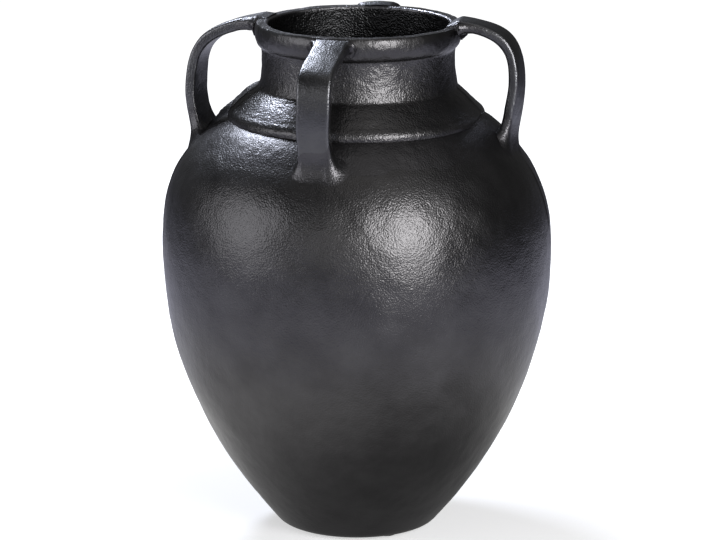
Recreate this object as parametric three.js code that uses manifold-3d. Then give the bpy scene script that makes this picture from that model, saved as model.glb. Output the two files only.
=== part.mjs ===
// Four-handled vase in blackened sand-cast aluminium, after the old Mediterranean storage jars.
// The belly and the neck are two castings. The neck's collar sits over a lip on the shoulder
// and a dressed weld closes the step between them. Four strap handles are cast flat, bent,
// and welded on, each with a bead under its root at the rim and a flared fillet round its foot.
// Lengths are millimetres, +Z is up, and the origin is the middle of the ground under the vase.
import * as THREE from 'three';
import { mergeVertices } from 'three/addons/utils/BufferGeometryUtils.js';
import Module from 'manifold-3d';

const wasm = await Module();
wasm.setup();

// Heights, each one stacked on the one before it
const padThickness = 1.5;
const bellyRise = 222.5;
const shoulderRise = 97.7;
const collarRise = 28;
const neckRise = 32.5;
const bandRise = 17.5;

// Radii of the outer surface
const footRadius = 60.5;
const bellyRadius = 151.6;
const neckRadius = 74.8;
const bandOverhang = 5;
const collarOverhang = 25;

// Walls and floor
const bodyWall = 5.5;
const neckWall = 4.5;
const floorThickness = 8;
const recessDepth = 2.5;
const recessRadius = 36;
const footEdge = 6;

// How full the curves of the body are, as the reach of their control points
const footLean = THREE.MathUtils.degToRad(40.2);
const footFullness = 43.8;
const lowerFullness = 113.8;
const upperFullness = 55.2;
const seatFullness = 25.7;
const seatSlope = THREE.MathUtils.degToRad(8);

// Lip on the shoulder that the collar sits over
const lipHeight = 7;
const lipThickness = 5.2;
const collarSkirt = 8;
const lipHeadroom = 1;

// Outline of the neck casting: the collar's nose and slope, the hollow waist and the rim band
const collarSlope = THREE.MathUtils.degToRad(41.5);
const noseRise = 5;
const noseSetback = 4.6;
const creaseFlare = 3;
const waistHollow = 0.8;
const waistFullness = 11;
const grooveStep = 1.4;
const grooveFullness = 6;
const bandFullness = 1;
const bandSetback = 1.6;
const mouthEdge = 1.2;
const liningFullness = 7.5;

// Strap of the handles
const strapWidth = 26;
const strapThickness = 8;
const strapEdge = 2.2;
const crownFullness = 40.7;
const bendFullness = 32.4;
const legFullness = 20.1;
const footStraight = 15.2;
const rootInset = 1;
const rootFeather = 0.8;
const footSink = 16;
const footDrop = 17;

// A handle of middling size: its top above the rim, its reach past the rim band, the depth of
// its widest point below the rim, and its foot's distance outside the collar's edge
const handleLift = 2;
const handleSpan = 53;
const handleBulge = 46;
const handleStance = 23;

// Each handle was bent and placed by hand, so each has its own turn round the rim, droop of the
// crown and lean of the leg, in degrees. Its lift, span, bulge and stance are given as shares of
// the middling handle's.
const handles = [
  { name: 'front', turn: 0.8, droop: 20, lean: 17, lift: -0.5, span: 1.03, bulge: 0.91, stance: 0.97 },
  { name: 'right', turn: 93.7, droop: 5, lean: 8, lift: 2.65, span: 0.91, bulge: 1, stance: 0.94 },
  { name: 'back', turn: 183.5, droop: 12, lean: 12, lift: 1.25, span: 0.97, bulge: 1, stance: 1.01 },
  { name: 'left', turn: 267, droop: 11.5, lean: 20, lift: 0.85, span: 1.09, bulge: 1.09, stance: 1.31 },
];

// Welds
const rimWeldLeg = 6;
const rimWeldLength = 15;
const rimWeldShy = 1.2;
const footWeldFlare = 16;
const footWeldInner = 9;
const footWeldOuter = 5;
const footWeldLength = 24;
const footWeldDelay = 7;
const footWeldHeel = 11;
const collarWeldRise = 5;
const collarWeldReach = 7;
const weldToe = 0.8;

// Felt pads
const padCount = 4;
const padRadius = 8;
const padCircle = 46;

// Clearances: the gap kept between pieces that meet, and the glue under the foot
const fitGap = 0.3;
const glueLine = 0.3;

// Facets
const turnSegments = 56;
const padSegments = 20;
const strapRings = 22;
const weldRings = 5;
const cornerPoints = 3;
const mergeTolerance = 1e-4;

// Places that follow from the sizes above
const footHeight = padThickness + glueLine;
const bellyHeight = footHeight + bellyRise;
const seatHeight = bellyHeight + shoulderRise;
const creaseHeight = seatHeight + collarRise;
const bandHeight = creaseHeight + neckRise;
const rimHeight = bandHeight + bandRise;
const bandRadius = neckRadius + bandOverhang;
const collarRadius = neckRadius + collarOverhang;
const boreRadius = neckRadius - neckWall;
const lipRadius = collarRadius - collarSkirt - fitGap;

function finish(color, roughness, metalness) {
  return new THREE.MeshStandardMaterial({ color, roughness, metalness });
}

const castFinish = finish(0x3a3a3d, 0.42, 0.85);
const strapFinish = finish(0x3e3e42, 0.36, 0.85);
const weldFinish = finish(0x37373a, 0.5, 0.85);
const feltFinish = finish(0x1b1b1c, 1, 0);

const point = (x, y) => new THREE.Vector2(x, y);

// Turns a closed outline, in radius and height, into a solid of revolution about +Z.
function revolve(outline) {
  const closed = outline[0].x === 0 ? outline : [...outline, outline[0].clone()];
  return new THREE.LatheGeometry(closed, turnSegments).rotateX(Math.PI / 2);
}

// Makes a closed geometry a solid for cutting: one vertex per corner, no empty triangles.
function toSolid(geometry) {
  const bare = geometry.clone();
  bare.deleteAttribute('normal');
  bare.deleteAttribute('uv');
  const merged = mergeVertices(bare, mergeTolerance);
  const index = merged.index.array;
  const triangles = [];
  for (let corner = 0; corner < index.length; corner += 3) {
    const [a, b, c] = index.slice(corner, corner + 3);
    if (a !== b && b !== c && c !== a) triangles.push(a, b, c);
  }
  return new wasm.Manifold(new wasm.Mesh({
    numProp: 3,
    vertProperties: merged.attributes.position.array,
    triVerts: Uint32Array.from(triangles),
  }));
}

// Cuts the tools out of a blank and gives the rest back as a geometry.
function cut(blank, tools) {
  const rest = tools.reduce((solid, tool) => solid.subtract(toSolid(tool)), toSolid(blank));
  const mesh = rest.getMesh();
  const geometry = new THREE.BufferGeometry();
  geometry.setAttribute('position', new THREE.BufferAttribute(mesh.vertProperties, 3));
  geometry.setIndex(new THREE.BufferAttribute(mesh.triVerts, 1));
  geometry.computeVertexNormals();
  return geometry;
}

// Samples a curve and moves each point along the outward normal by the given distance.
function offsetCurve(curve, pieces, distance) {
  return Array.from({ length: pieces + 1 }, (_, step) => {
    const tangent = curve.getTangent(step / pieces);
    const place = curve.getPoint(step / pieces);
    return point(place.x + tangent.y * distance, place.y - tangent.x * distance);
  });
}

// Wall of the body from the foot's corner up to the widest point.
const wallCurve = new THREE.CubicBezierCurve(
  point(footRadius, footHeight),
  point(footRadius + footFullness * Math.sin(footLean), footHeight + footFullness * Math.cos(footLean)),
  point(bellyRadius, bellyHeight - lowerFullness),
  point(bellyRadius, bellyHeight),
);

// Shoulder from the widest point up and in to the collar's edge.
const shoulderCurve = new THREE.CubicBezierCurve(
  point(bellyRadius, bellyHeight),
  point(bellyRadius, bellyHeight + upperFullness),
  point(collarRadius + seatFullness * Math.cos(seatSlope), seatHeight - seatFullness * Math.sin(seatSlope)),
  point(collarRadius, seatHeight),
);

// Height of the shoulder's surface at a radius, found by halving.
function shoulderHeight(radius) {
  let low = 0;
  let high = 1;
  for (let step = 0; step < 30; step += 1) {
    const middle = (low + high) / 2;
    if (shoulderCurve.getPoint(middle).x > radius) low = middle;
    else high = middle;
  }
  return shoulderCurve.getPoint(low).y;
}

// Body and shoulder surface at a distance outside the casting, from the foot to the collar.
function bodySurface(distance, wallPieces, shoulderPieces) {
  const start = footEdge / wallCurve.getLength();
  const wall = offsetCurve(wallCurve, wallPieces, distance)
    .filter((_, step) => step / wallPieces > start);
  return [...wall, ...offsetCurve(shoulderCurve, shoulderPieces, distance).slice(1)];
}

function bodyGeometry() {
  const roundStart = wallCurve.getPointAt(footEdge / wallCurve.getLength());
  const footRounding = new THREE.QuadraticBezierCurve(
    point(footRadius - footEdge, footHeight),
    point(footRadius, footHeight),
    roundStart,
  );
  const floorHeight = footHeight + floorThickness;
  const inside = bodySurface(-bodyWall, 6, 5).reverse().filter((place) => place.y > floorHeight + footEdge);
  const floorEdge = inside[inside.length - 1].x - footEdge;
  return revolve([
    point(0, footHeight + recessDepth),
    point(recessRadius, footHeight + recessDepth),
    point(recessRadius + recessDepth, footHeight),
    ...footRounding.getPoints(4),
    ...bodySurface(0, 10, 8),
    point(lipRadius, seatHeight),
    point(lipRadius, seatHeight + lipHeight),
    point(lipRadius - lipThickness, seatHeight + lipHeight),
    point(lipRadius - lipThickness, seatHeight - bodyWall),
    ...inside,
    point(floorEdge, floorHeight),
    point(0, floorHeight),
  ]);
}

// Outer surface of the neck casting, moved out by a distance: the collar's upright edge, its
// rounded nose, the straight slope up to the crease, the hollow waist and the plump rim band.
function neckSurface(distance) {
  const creaseRadius = neckRadius + creaseFlare;
  const slopeAt = (radius) => point(radius, creaseHeight - (radius - creaseRadius) * Math.tan(collarSlope));
  const nose = new THREE.QuadraticBezierCurve(
    point(collarRadius, seatHeight + noseRise),
    slopeAt(collarRadius),
    slopeAt(collarRadius - noseSetback),
  );
  const waist = new THREE.CubicBezierCurve(
    point(creaseRadius, creaseHeight),
    point(neckRadius - waistHollow, creaseHeight + waistFullness),
    point(neckRadius - waistHollow, bandHeight - grooveFullness),
    point(neckRadius + grooveStep, bandHeight),
  );
  const band = new THREE.CubicBezierCurve(
    point(neckRadius + grooveStep, bandHeight),
    point(bandRadius + bandFullness, bandHeight),
    point(bandRadius + bandFullness, rimHeight),
    point(bandRadius - bandSetback, rimHeight),
  );
  return [
    point(collarRadius + distance, seatHeight + fitGap),
    ...offsetCurve(nose, 4, distance),
    ...offsetCurve(waist, 6, distance),
    ...offsetCurve(band, 6, distance).slice(1),
  ];
}

function neckGeometry() {
  const socketRadius = lipRadius + fitGap;
  const socketHeight = seatHeight + lipHeight + lipHeadroom;
  const lining = new THREE.CubicBezierCurve(
    point(boreRadius, creaseHeight),
    point(boreRadius, creaseHeight - liningFullness),
    point(socketRadius, socketHeight + liningFullness),
    point(socketRadius, socketHeight),
  );
  return revolve([
    ...neckSurface(0),
    point(boreRadius + mouthEdge, rimHeight),
    point(boreRadius, rimHeight - mouthEdge),
    ...lining.getPoints(4),
    point(socketRadius, seatHeight + fitGap),
  ]);
}

// The body and the neck as solid cutting tools, one fit gap larger than the castings.
const bodyTool = () => revolve([
  point(0, footHeight),
  ...bodySurface(fitGap, 10, 8),
  point(0, seatHeight + fitGap),
]);

function neckTool() {
  const surface = neckSurface(fitGap);
  return revolve([
    point(0, seatHeight),
    point(surface[0].x, seatHeight),
    ...surface,
    point(surface[surface.length - 1].x, rimHeight + fitGap),
    point(0, rimHeight + fitGap),
  ]);
}

// Ring that fills the corner between the collar's edge and the shoulder, with a hollow face.
// The distance moves its face out, for the tool that cuts what stands on it.
function collarWeldBlank(distance) {
  const heel = collarRadius - collarSkirt / 2;
  const top = seatHeight + collarWeldRise;
  const toe = collarRadius + collarWeldReach;
  const face = new THREE.QuadraticBezierCurve(
    point(toe, shoulderHeight(toe) + weldToe),
    point(collarRadius + weldToe, seatHeight + weldToe),
    point(collarRadius + weldToe, top),
  );
  return revolve([
    point(heel, seatHeight - collarWeldReach),
    point(toe + distance, seatHeight - collarWeldReach),
    ...offsetCurve(face, 4, distance),
    point(heel, top + distance),
  ]);
}

// Outer face of a handle in its own upright plane: x is the radius and y the height.
// It rises from a thin end at the mouth to the rim band, runs out along the crown, round the bend
// and down the leg, then straight on into the shoulder. rootArc and footArc are the lengths to
// its two joints.
function handleFace(handle) {
  const droop = THREE.MathUtils.degToRad(handle.droop);
  const lean = THREE.MathUtils.degToRad(handle.lean);
  const lift = handle.lift * handleLift;
  const mouth = point(boreRadius + rootInset, rimHeight + Math.min(lift, rootFeather));
  const root = point(bandRadius, rimHeight + lift);
  const bulge = point(bandRadius + handle.span * handleSpan, rimHeight - handle.bulge * handleBulge);
  const foot = point(collarRadius + handle.stance * handleStance, seatHeight - footDrop);
  const along = (start, angle, length) =>
    point(start.x + Math.sin(angle) * length, start.y + Math.cos(angle) * length);
  const path = new THREE.CurvePath();
  path.add(new THREE.LineCurve(mouth, root));
  path.add(new THREE.CubicBezierCurve(
    root,
    along(root, Math.PI / 2 + droop, crownFullness),
    point(bulge.x, bulge.y + bendFullness),
    bulge,
  ));
  path.add(new THREE.CubicBezierCurve(
    bulge,
    point(bulge.x, bulge.y - legFullness),
    along(foot, lean, footStraight),
    foot,
  ));
  path.add(new THREE.LineCurve(foot, along(foot, lean + Math.PI, footSink)));
  const lengths = path.getCurveLengths();
  return { path, length: lengths[3], rootArc: lengths[0], footArc: lengths[2] };
}

// Rounded rectangle across a strap: from outer to inner along its thickness, and its width.
function strapSection(outer, inner, width, edge) {
  const depths = [outer, inner, inner, outer];
  return depths.flatMap((depth, quarter) => Array.from({ length: cornerPoints }, (_, step) => {
    const side = quarter < 2 ? 1 : -1;
    const angle = (quarter + step / (cornerPoints - 1)) * Math.PI / 2;
    const centreDepth = depth === outer ? outer - edge : inner + edge;
    const centreSide = side * (width / 2 - edge);
    return point(centreDepth + edge * Math.cos(angle), centreSide + edge * Math.sin(angle));
  }));
}

// Carries a section along a handle's outer face between two lengths, and closes both ends.
// sectionAt gives the outer and inner depth, the width and the edge radius at each length.
function loftStrap(face, from, to, rings, sectionAt) {
  const places = [];
  for (let ring = 0; ring <= rings; ring += 1) {
    const arc = from + (to - from) * ring / rings;
    const share = Math.min(arc / face.length, 1);
    const place = face.path.getPointAt(share);
    const tangent = face.path.getTangentAt(share);
    const { outer, inner, width, edge } = sectionAt(arc);
    strapSection(outer, inner, width, edge).forEach(({ x: depth, y: side }) => {
      places.push(side, -(place.x - tangent.y * depth), place.y + tangent.x * depth);
    });
  }
  const around = 4 * cornerPoints;
  const index = [];
  for (let ring = 0; ring < rings; ring += 1) {
    for (let step = 0; step < around; step += 1) {
      const a = ring * around + step;
      const b = ring * around + (step + 1) % around;
      index.push(a, a + around, b, b, a + around, b + around);
    }
  }
  const last = rings * around;
  for (let step = 1; step < around - 1; step += 1) {
    index.push(0, step, step + 1, last, last + step + 1, last + step);
  }
  const geometry = new THREE.BufferGeometry();
  geometry.setAttribute('position', new THREE.Float32BufferAttribute(places, 3));
  geometry.setIndex(index);
  return geometry;
}

// Strap of a handle at its own size, or larger all round by a distance to cut its welds.
function strapGeometry(face, distance) {
  return loftStrap(face, 0, face.length, strapRings, () => ({
    outer: distance,
    inner: -strapThickness - distance,
    width: strapWidth + 2 * distance,
    edge: strapEdge + distance,
  }));
}

// Swelling of a fillet: nothing at its start, then a quarter circle out to its full leg.
function swelling(arc, start, length, leg) {
  const share = THREE.MathUtils.clamp((arc - start) / length, 0, 1);
  return weldToe + leg * (1 - Math.sqrt(1 - share * share));
}

// Bead under and beside the root, cut to the rim band and to the strap.
function rimWeldBlank(face) {
  const end = face.rootArc + rimWeldLength;
  return loftStrap(face, face.rootArc - rimWeldLeg, end, weldRings, (arc) => {
    const swell = swelling(end - arc, 0, rimWeldLength, rimWeldLeg);
    return {
      outer: -rimWeldShy,
      inner: -strapThickness - swell,
      width: strapWidth + 2 * swell,
      edge: strapEdge,
    };
  });
}

// Fillet that spreads the foot like a fish's tail over the shoulder.
function footWeldBlank(face) {
  const start = face.footArc - footWeldLength;
  return loftStrap(face, start - weldToe, face.length, 2 * weldRings, (arc) => ({
    outer: swelling(arc, start + footWeldDelay, footWeldLength, footWeldOuter),
    inner: -strapThickness - swelling(arc, start - weldToe, footWeldHeel, footWeldInner),
    width: strapWidth + 2 * swelling(arc, start, footWeldLength, footWeldFlare),
    edge: strapEdge,
  }));
}

function namedMesh(name, geometry, material) {
  const mesh = new THREE.Mesh(geometry, material);
  mesh.name = name;
  return mesh;
}

// One handle with its two welds, in a group turned to its place round the rim.
function handleGroup(handle) {
  const angle = THREE.MathUtils.degToRad(handle.turn);
  const face = handleFace(handle);
  const vessel = [bodyTool(), neckTool(), collarWeldBlank(fitGap)];
  vessel.forEach((tool) => tool.rotateZ(-angle));
  const vesselAndStrap = [...vessel, strapGeometry(face, fitGap)];
  const strap = cut(strapGeometry(face, 0), vessel);
  const rimWeld = cut(rimWeldBlank(face), vesselAndStrap);
  const footWeld = cut(footWeldBlank(face), vesselAndStrap);
  const group = new THREE.Group();
  group.rotation.z = angle;
  group.add(
    namedMesh(`handle_${handle.name}`, strap, strapFinish),
    namedMesh(`rim_weld_${handle.name}`, rimWeld, weldFinish),
    namedMesh(`foot_weld_${handle.name}`, footWeld, weldFinish),
  );
  return group;
}

// Round felt pad stuck under the foot, half way between two handles.
function padMesh(number) {
  const geometry = new THREE.CylinderGeometry(padRadius, padRadius, padThickness, padSegments);
  const mesh = namedMesh(`base_pad_${number + 1}`, geometry.rotateX(Math.PI / 2), feltFinish);
  const angle = (number + 0.5) * 2 * Math.PI / padCount;
  mesh.position.set(Math.cos(angle) * padCircle, Math.sin(angle) * padCircle, padThickness / 2);
  return mesh;
}

const vase = new THREE.Group();
vase.add(
  namedMesh('body', bodyGeometry(), castFinish),
  namedMesh('neck', neckGeometry(), castFinish),
  namedMesh('collar_weld', cut(collarWeldBlank(0), [bodyTool(), neckTool()]), weldFinish),
  ...handles.map(handleGroup),
  ...Array.from({ length: padCount }, (_, number) => padMesh(number)),
);

export default vase;
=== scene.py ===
# %% [markdown]
# # A four-handled vase in blackened cast aluminium
# This notebook dresses a finished model of the vase, which gives the true sizes. Each of its
# solids gets a finer skin, with the marks that sand, file and weld leave on metal.
# Lengths in the shape functions are millimetres, and one factor turns them to metres.

# %% Load the frame
from math import comb, cos, pi, radians, sin

import bpy
import numpy as np
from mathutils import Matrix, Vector


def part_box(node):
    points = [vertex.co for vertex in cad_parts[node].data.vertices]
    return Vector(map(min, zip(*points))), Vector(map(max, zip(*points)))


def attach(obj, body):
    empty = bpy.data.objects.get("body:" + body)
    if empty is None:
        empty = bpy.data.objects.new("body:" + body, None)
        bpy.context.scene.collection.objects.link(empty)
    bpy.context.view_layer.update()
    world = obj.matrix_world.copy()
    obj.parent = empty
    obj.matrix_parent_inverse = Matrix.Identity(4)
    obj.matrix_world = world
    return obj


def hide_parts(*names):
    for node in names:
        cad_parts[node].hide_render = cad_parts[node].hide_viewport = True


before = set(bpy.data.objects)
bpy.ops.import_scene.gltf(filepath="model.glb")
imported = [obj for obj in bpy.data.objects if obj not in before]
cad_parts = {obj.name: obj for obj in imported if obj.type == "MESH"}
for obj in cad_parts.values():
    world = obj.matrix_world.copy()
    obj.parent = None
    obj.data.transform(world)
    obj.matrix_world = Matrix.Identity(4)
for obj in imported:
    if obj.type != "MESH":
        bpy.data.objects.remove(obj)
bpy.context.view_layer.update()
MM = 0.001
TINY = 1e-9
print("solids in the frame:", len(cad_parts))

# %% [markdown]
# ## The camera
# The photograph is a long-lens picture from a little above the rim. The mouth's ellipse and the
# foot's ellipse give the distance and height of the lens: their flatness differs because one is
# seen more from above. The camera stands a small turn to the right of the front handle.

# %% Place the camera
CAMERA_TURN = radians(15.5)
CAMERA_DISTANCE = 2.7256
CAMERA_HEIGHT = 0.872
CAMERA_PITCH = radians(13.79)
CAMERA_SIDESTEP = 0.0008
LENS_MM, SENSOR_MM, FAR_CLIP = 180.24, 36, 50

to_camera = Vector((sin(CAMERA_TURN), -cos(CAMERA_TURN), 0))
to_right = Vector((cos(CAMERA_TURN), sin(CAMERA_TURN), 0))
camera_data = bpy.data.cameras.new("camera")
camera_data.lens = LENS_MM
camera_data.sensor_width = SENSOR_MM
camera_data.clip_end = FAR_CLIP
camera = bpy.data.objects.new("camera", camera_data)
camera.location = to_camera * CAMERA_DISTANCE + to_right * CAMERA_SIDESTEP
camera.location.z = CAMERA_HEIGHT
camera.rotation_euler = (pi / 2 - CAMERA_PITCH, 0, CAMERA_TURN)
bpy.context.collection.objects.link(camera)
bpy.context.scene.camera = camera
print("camera at", tuple(round(value, 3) for value in camera.location))

# %% [markdown]
# ## Helpers for colour and nodes
# Colours are written as the hex values one would pick in a paint program. The shader works in
# linear light, so one function converts them. Another adds a shader node, sets it and links
# it, so that a material reads as a list of steps.

# %% Colour and node helpers
def linear(hex_colour):
    """sRGB hex to linear RGBA: low values are divided by 12.92, the rest follow a 2.4 power."""
    values = [int(hex_colour[place:place + 2], 16) / 255 for place in (1, 3, 5)]
    return [v / 12.92 if v <= 0.04045 else ((v + 0.055) / 1.055) ** 2.4 for v in values] + [1.0]


def add_node(tree, kind, inputs=None, **settings):
    """Adds a shader node, sets its settings, and sets each input or links it to an output."""
    made = tree.nodes.new(f"ShaderNode{kind}")
    for name, value in settings.items():
        setattr(made, name, value)
    for key, value in (inputs or {}).items():
        if isinstance(value, bpy.types.NodeSocket):
            tree.links.new(value, made.inputs[key])
        else:
            made.inputs[key].default_value = value
    return made


def new_material(name):
    """An empty node material, with its tree and the place in object coordinates."""
    material = bpy.data.materials.new(name)
    material.use_nodes = True
    tree = material.node_tree
    tree.nodes.clear()
    return material, tree, add_node(tree, "TexCoord").outputs["Object"]


# %% [markdown]
# ## Blackened cast aluminium
# The vase is poured in sand, so its skin keeps the print of the sand grains: pebbles a little
# over a millimetre across that glint wherever a lamp is mirrored. A chemical black and a thin
# wax leave a dark metal with a soft shine. The black is uneven over a hand's breadth, and it
# wears away on edges, where the bare metal shows lighter. The print is a bump, because it is
# finer than the mesh, while dents and waves wider than a few millimetres are real geometry. Two
# marks stored on every vertex drive the finish. Wear and highlight lightens the colour, both for
# rubbed edges and for painted highlights on the handles' crowns and on the collar's slope. Sand
# says how deep the print is, because the lower belly was rubbed smoother than the neck.

# %% Casting material
# Each noise has its size in millimetres, its detail and its roughness.
MOTTLE_NOISE, PIT_NOISE, GRAIN_NOISE = (38.0, 4.0, 0.6), (4.5, 1.0, 0.5), (1.2, 0.0, 0.5)
TONE_START, TONE_END, SHINE_START, SHINE_END, SHINE_SPREAD = 0.35, 0.68, 0.3, 0.7, 0.04


def cast_metal(name, dark, light, worn_and_highlight, roughness, grain, pits):
    """Dark metal: mottled base colour, worn edges and painted highlights, grain and pits as bumps in
    millimetres.
    """
    material, tree, place = new_material(name)
    mottle, pit, sand = (
        add_node(tree, "TexNoise", {"Vector": place, "Scale": 1 / (size_mm * MM),
                 "Detail": detail, "Roughness": rough}).outputs["Fac"]
        for size_mm, detail, rough in (MOTTLE_NOISE, PIT_NOISE, GRAIN_NOISE))
    wear, depth = (add_node(tree, "Attribute", attribute_name=mark).outputs["Fac"]
                   for mark in ("wear", "sand"))
    tone = add_node(tree, "MapRange",
                    {"Value": mottle, "From Min": TONE_START, "From Max": TONE_END})
    base = add_node(tree, "Mix", {"Factor": tone.outputs["Result"], "A": linear(dark),
                    "B": linear(light)}, data_type="RGBA")
    # The lighter colour lightens worn edges and also paints the highlights on crowns and collar.
    colour = add_node(tree, "Mix", {"Factor": wear, "A": base.outputs["Result"],
                      "B": linear(worn_and_highlight)}, data_type="RGBA")
    shine = add_node(tree, "MapRange",
                     {"Value": mottle, "From Min": SHINE_START, "From Max": SHINE_END,
                      "To Min": roughness - SHINE_SPREAD, "To Max": roughness + SHINE_SPREAD})
    dents = add_node(tree, "Bump", {"Height": pit, "Distance": pits * MM, "Strength": depth})
    skin = add_node(tree, "Bump", {"Height": sand, "Distance": grain * MM, "Strength": depth,
                    "Normal": dents.outputs["Normal"]})
    shader = add_node(tree, "BsdfPrincipled",
                      {"Base Color": colour.outputs["Result"], "Metallic": 1.0,
                       "Roughness": shine.outputs["Result"], "Normal": skin.outputs["Normal"]})
    add_node(tree, "OutputMaterial", {"Surface": shader.outputs["BSDF"]})
    return material


belly_metal = cast_metal("blackened_sand_cast_aluminium", "#4b4a4b", "#575657", "#8c8b8f",
                         roughness=0.36, grain=0.23, pits=0.18)
neck_metal = cast_metal("coarse_sand_cast_aluminium", "#4b4a4b", "#575657", "#a2a1a6",
                        roughness=0.36, grain=0.29, pits=0.20)
strap_metal = cast_metal("filed_cast_aluminium", "#525254", "#5f5f61", "#97979c",
                         roughness=0.36, grain=0.20, pits=0.15)
bead_metal = cast_metal("dressed_aluminium_weld", "#4a494b", "#575658", "#8c8b8f",
                        roughness=0.38, grain=0.22, pits=0.22)
# Painted shade: the lining is coloured darker than the outside, as shade inside the mouth.
shaded_lining_metal = cast_metal("lining_with_painted_shade", "#303031", "#383839", "#a2a1a6",
                          roughness=0.36, grain=0.55, pits=0.20)
print("metals:", belly_metal.name, neck_metal.name, strap_metal.name, bead_metal.name)

# %% [markdown]
# ## Pressed wool felt
# Four dots of black felt keep the foot from scratching a table. Felt is a mat of short fibres:
# rough all through, with a faint sheen where the fibres stand up.

# %% Felt material
FIBRE_MM, FIBRE_DETAIL, NAP_MM = 0.5, 3.0, 0.2
FELT_ROUGHNESS, FELT_SHEEN = 0.95, 0.3


def pressed_felt():
    """Rough cloth: fine noise as colour and bump, and a sheen for the raised fibres."""
    material, tree, place = new_material("pressed_wool_felt")
    fibres = add_node(tree, "TexNoise", {"Vector": place, "Scale": 1 / (FIBRE_MM * MM),
                      "Detail": FIBRE_DETAIL}).outputs["Fac"]
    colour = add_node(tree, "Mix", {"Factor": fibres, "A": linear("#141415"),
                      "B": linear("#28282a")}, data_type="RGBA")
    nap = add_node(tree, "Bump", {"Height": fibres, "Distance": NAP_MM * MM})
    shader = add_node(tree, "BsdfPrincipled",
                      {"Base Color": colour.outputs["Result"], "Roughness": FELT_ROUGHNESS,
                       "Sheen Weight": FELT_SHEEN, "Normal": nap.outputs["Normal"]})
    add_node(tree, "OutputMaterial", {"Surface": shader.outputs["BSDF"]})
    return material


felt = pressed_felt()

# %% [markdown]
# ## Helpers for shape
# Every skin is a grid of points: a profile turned round an axis, or a section carried along a
# path. The helpers make curves, space points evenly along them, and turn a grid into a closed
# mesh whose faces look outwards. In the photograph the shoulder sits a millimetre to the left of
# the foot, and the mouth as much to the right: a casting that sagged as it cooled. One function
# moves every piece by the same rule, so that they stay in touch.

# %% Curves
def bezier(points, count):
    """Bezier curve: each control point weighs C(n,k) t^k (1-t)^(n-k) at t from 0 to 1."""
    points = np.asarray(points, float)
    order = len(points) - 1
    t = np.linspace(0, 1, count)[:, None]
    return sum(comb(order, k) * t**k * (1 - t)**(order - k) * points[k] for k in range(order + 1))


def swept(start, corner, end, count):
    """Rows from start to end, (1-t)^2 start + 2t(1-t) corner + t^2 end: a weld's curved face."""
    t = np.linspace(0, 1, count)[:, None, None]
    return (1 - t) ** 2 * start + 2 * t * (1 - t) * corner + t ** 2 * end


def travel(line):
    """Distance along a line to each point: the lengths of its steps, summed up."""
    return np.r_[0, np.cumsum(np.linalg.norm(np.diff(line, axis=0), axis=1))]


def points_at(line, distances):
    """Points of a line at the distances given along it."""
    gone = travel(line)
    return np.stack([np.interp(distances, gone, line[:, axis]) for axis in (0, 1)], axis=1)


def respace(line, count):
    """The same line with its points evenly spaced."""
    return points_at(line, np.linspace(0, travel(line)[-1], count))


def rounded(corner, before, after, radius, count=5):
    """Arc-like rounding of a corner: a quadratic curve from one leg to the other."""
    corner, before, after = (np.asarray(p, float) for p in (corner, before, after))
    reach_in = corner + (before - corner) * radius / np.linalg.norm(before - corner)
    reach_out = corner + (after - corner) * radius / np.linalg.norm(after - corner)
    return bezier([reach_in, corner, reach_out], count)


def unit(vectors):
    """The same vectors, each divided by its length."""
    return vectors / np.linalg.norm(vectors, axis=-1, keepdims=True)


def line_normals(line):
    """Normal on the right of a line in the plane: its direction turned by a quarter."""
    along = np.gradient(line, axis=0)
    return unit(np.stack([along[:, 1], -along[:, 0]], axis=1))


def bell(distance, width, power=2):
    """Bell exp(-(distance / width)^power): 1 in the middle, and wider and flatter with power."""
    return np.exp(-(distance / width) ** power)


def ramp(value, start, end):
    """Smooth step from 0 at the start to 1 at the end: 3s^2 - 2s^3 of the share s."""
    share = np.clip((value - start) / (end - start), 0, 1)
    return share * share * (3 - 2 * share)


# %% The vase stands out of true
SHOULDER_SHIFT, MOUTH_SHIFT = -1.4, 1.2
SHOULDER_STARTS, SHOULDER_ENDS, MOUTH_STARTS = (245, 285), (300, 325), (335, 360)


def out_of_true(points):
    """Moves points sideways by height: the shoulder to the left, the mouth to the right."""
    height = points[:, 2]
    shoulder = ramp(height, *SHOULDER_STARTS) * (1 - ramp(height, *SHOULDER_ENDS))
    sideways = SHOULDER_SHIFT * shoulder + MOUTH_SHIFT * ramp(height, *MOUTH_STARTS)
    return points + sideways[:, None] * np.array(to_right)


# %% Meshes from grids
SHARP_FROM = radians(50)


def grid_quads(rows, columns, wrap_rows=False):
    """Faces of a grid whose columns close on themselves, and whose rows may too."""
    row = np.arange(rows if wrap_rows else rows - 1)[:, None]
    column = np.arange(columns)[None, :]
    next_row, next_column = (row + 1) % rows, (column + 1) % columns
    corners = [row * columns + column, row * columns + next_column,
               next_row * columns + next_column, next_row * columns + column]
    return np.stack(np.broadcast_arrays(*corners), axis=-1).reshape(-1, 4)


def signed_volume(points, faces):
    """Sum over fan triangles of a.(b x c) / 6: positive when faces look outwards."""
    a = points[faces[:, 0]]
    return sum(np.einsum("ij,ij->", a, np.cross(points[faces[:, k]], points[faces[:, k + 1]]))
               for k in range(1, faces.shape[1] - 1)) / 6


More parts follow.
